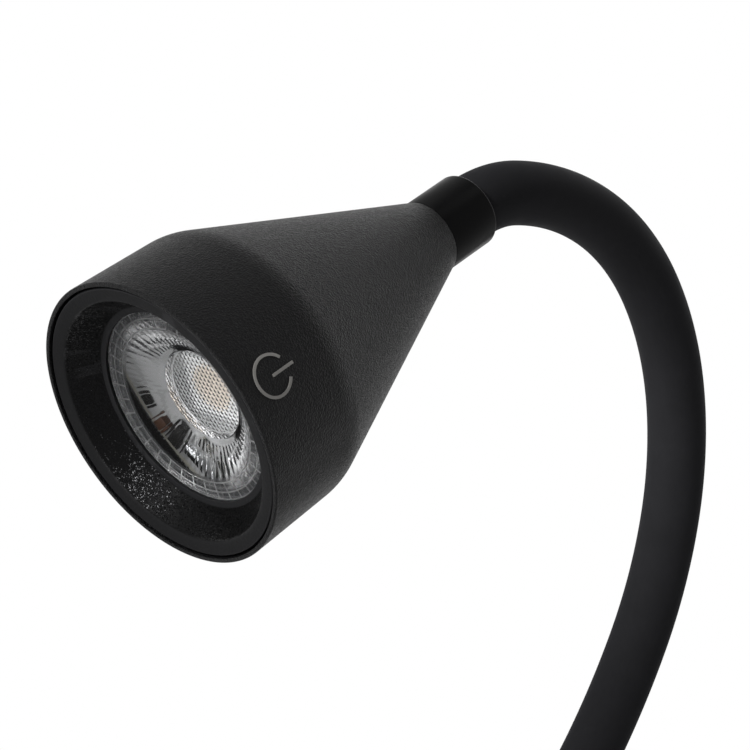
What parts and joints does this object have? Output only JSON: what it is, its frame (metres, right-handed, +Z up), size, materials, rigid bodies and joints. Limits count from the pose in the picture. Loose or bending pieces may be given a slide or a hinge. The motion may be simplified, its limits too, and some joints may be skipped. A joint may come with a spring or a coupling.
{
  "type": "gooseneck desk lamp",
  "caption": "Desk lamp with a weighted round base, a bendable sleeved gooseneck arm and a cone-shaped head with a recessed clear lens and a touch switch.",
  "frame": {"origin": "centre of the underside of the base, on the desk", "axes": "+Z up; the arm stands in the XZ plane and the head reaches toward -X; the power inlet faces +X; left and right are along Y"},
  "size_m": [0.1644, 0.13, 0.3243],
  "materials": {
    "pad": "soft foam pad, fine cell grain",
    "plate": "moulded",
    "textured_black": "fine leather-like moulded grain",
    "screw_steel": "zinc plated",
    "ballast_iron": "cast, lightly primed",
    "smooth_black": "smooth satin",
    "ferrule_brass": "machined",
    "washer_steel": "zinc plated",
    "jack_black": "moulded",
    "contact_brass": "tinned",
    "wire_white": "insulated",
    "lead_black": "jacketed",
    "core_steel": "wound spring steel",
    "sleeve_rubber": "smooth matte silicone",
    "sink_aluminium": "extruded",
    "board_white": "white solder mask",
    "chip": "phosphor on white ceramic",
    "small_parts": "moulded packages",
    "clear_lens": "clear moulded optic",
    "trim_black": "spark grain",
    "copper_foil": "copper foil",
    "mark_grey": "pad printed"
  },
  "bodies": {
    "base": {"base_pad": "pad", "base_plate": "plate", "base_cover": "textured_black", "base_screws": "screw_steel", "ballast": "ballast_iron", "ballast_screws": "screw_steel", "foot_collar": "smooth_black", "foot_ferrule": "ferrule_brass", "foot_washer": "washer_steel", "foot_nut": "ferrule_brass", "power_jack": "jack_black", "jack_pin": "contact_brass", "jack_nut": "washer_steel", "jack_tabs": "contact_brass", "base_wires": "wire_white", "arm_core_0": "core_steel", "arm_sleeve_0": "sleeve_rubber", "arm_lead": "lead_black"},
    "link_1": {"arm_core_1": "core_steel", "arm_sleeve_1": "sleeve_rubber"},
    "link_2": {"arm_core_2": "core_steel", "arm_sleeve_2": "sleeve_rubber"},
    "link_3": {"arm_core_3": "core_steel", "arm_sleeve_3": "sleeve_rubber"},
    "link_4": {"arm_core_4": "core_steel", "arm_sleeve_4": "sleeve_rubber"},
    "link_5": {"arm_core_5": "core_steel", "arm_sleeve_5": "sleeve_rubber"},
    "link_6": {"arm_core_6": "core_steel", "arm_sleeve_6": "sleeve_rubber"},
    "link_7": {"arm_core_7": "core_steel", "arm_sleeve_7": "sleeve_rubber"},
    "link_8": {"arm_core_8": "core_steel", "arm_sleeve_8": "sleeve_rubber"},
    "link_9": {"arm_core_9": "core_steel", "arm_sleeve_9": "sleeve_rubber"},
    "link_10": {"arm_core_10": "core_steel", "arm_sleeve_10": "sleeve_rubber"},
    "link_11": {"arm_core_11": "core_steel", "arm_sleeve_11": "sleeve_rubber"},
    "head": {"arm_core_12": "core_steel", "arm_sleeve_12": "sleeve_rubber", "head_collar": "smooth_black", "head_ferrule": "ferrule_brass", "head_washer": "washer_steel", "head_nut": "ferrule_brass", "head_shell": "textured_black", "heat_sink": "sink_aluminium", "sink_screws": "screw_steel", "led_board": "board_white", "led_chip": "chip", "board_parts": "small_parts", "board_screws": "screw_steel", "lens": "clear_lens", "trim_ring": "trim_black", "touch_pad": "copper_foil", "touch_wire": "contact_brass", "power_mark": "mark_grey", "head_wires": "wire_white"}
  },
  "joints": [
    {"name": "lower_bend", "type": "hinge", "parent": "base", "child": "link_1", "pos_m": [0, 0, 0.056], "axis": [0, -1, 0], "range_deg": [-15, 15], "deforming": ["arm_lead", "arm_sleeve_0", "arm_sleeve_1"]},
    {"name": "lower_sway", "type": "hinge", "parent": "link_1", "child": "link_2", "pos_m": [0.00098, 0, 0.08398], "axis": [0.9976, 0, -0.0698], "range_deg": [-20, 20], "deforming": ["arm_sleeve_1", "arm_sleeve_2"]},
    {"name": "lower_bend_2", "type": "hinge", "parent": "link_2", "child": "link_3", "pos_m": [0.00511, 0, 0.11164], "axis": [0, -1, 0], "range_deg": [-15, 15], "deforming": ["arm_sleeve_2", "arm_sleeve_3"]},
    {"name": "lower_bend_3", "type": "hinge", "parent": "link_3", "child": "link_4", "pos_m": [0.01466, 0, 0.13789], "axis": [0, -1, 0], "range_deg": [-15, 15], "deforming": ["arm_sleeve_3", "arm_sleeve_4"]},
    {"name": "lower_sway_2", "type": "hinge", "parent": "link_4", "child": "link_5", "pos_m": [0.02989, 0, 0.16133], "axis": [0.7771, 0, -0.6293], "range_deg": [-20, 20], "deforming": ["arm_sleeve_4", "arm_sleeve_5"]},
    {"name": "lower_bend_4", "type": "hinge", "parent": "link_5", "child": "link_6", "pos_m": [0.04825, 0, 0.18245], "axis": [0, -1, 0], "range_deg": [-15, 15], "deforming": ["arm_sleeve_5", "arm_sleeve_6"]},
    {"name": "upper_bend", "type": "hinge", "parent": "link_6", "child": "link_7", "pos_m": [0.06501, 0, 0.20482], "axis": [0, -1, 0], "range_deg": [-20, 12], "deforming": ["arm_sleeve_6", "arm_sleeve_7"]},
    {"name": "upper_sway", "type": "hinge", "parent": "link_7", "child": "link_8", "pos_m": [0.07507, 0, 0.23081], "axis": [0.9796, 0, -0.2011], "range_deg": [-20, 20], "deforming": ["arm_sleeve_7", "arm_sleeve_8"]},
    {"name": "upper_bend_2", "type": "hinge", "parent": "link_8", "child": "link_9", "pos_m": [0.07555, 0, 0.25865], "axis": [0, -1, 0], "range_deg": [-20, 12], "deforming": ["arm_sleeve_8", "arm_sleeve_9"]},
    {"name": "upper_bend_3", "type": "hinge", "parent": "link_9", "child": "link_10", "pos_m": [0.06574, 0, 0.28469], "axis": [0, -1, 0], "range_deg": [-20, 12], "deforming": ["arm_sleeve_9", "arm_sleeve_10"]},
    {"name": "upper_sway_2", "type": "hinge", "parent": "link_10", "child": "link_11", "pos_m": [0.04642, 0, 0.30466], "axis": [0.5534, 0, 0.8329], "range_deg": [-20, 20], "deforming": ["arm_sleeve_10", "arm_sleeve_11"]},
    {"name": "upper_bend_4", "type": "hinge", "parent": "link_11", "child": "head", "pos_m": [0.02069, 0, 0.31523], "axis": [0, -1, 0], "range_deg": [-20, 12], "deforming": ["arm_sleeve_11", "arm_sleeve_12"]}
  ],
  "couplings": [
    {"joint": "lower_bend_2", "follows": "lower_bend", "ratio": 1},
    {"joint": "lower_bend_3", "follows": "lower_bend", "ratio": 1},
    {"joint": "lower_sway_2", "follows": "lower_sway", "ratio": 1},
    {"joint": "lower_bend_4", "follows": "lower_bend", "ratio": 1},
    {"joint": "upper_bend_2", "follows": "upper_bend", "ratio": 1},
    {"joint": "upper_bend_3", "follows": "upper_bend", "ratio": 1},
    {"joint": "upper_sway_2", "follows": "upper_sway", "ratio": 1},
    {"joint": "upper_bend_4", "follows": "upper_bend", "ratio": 1}
  ]
}
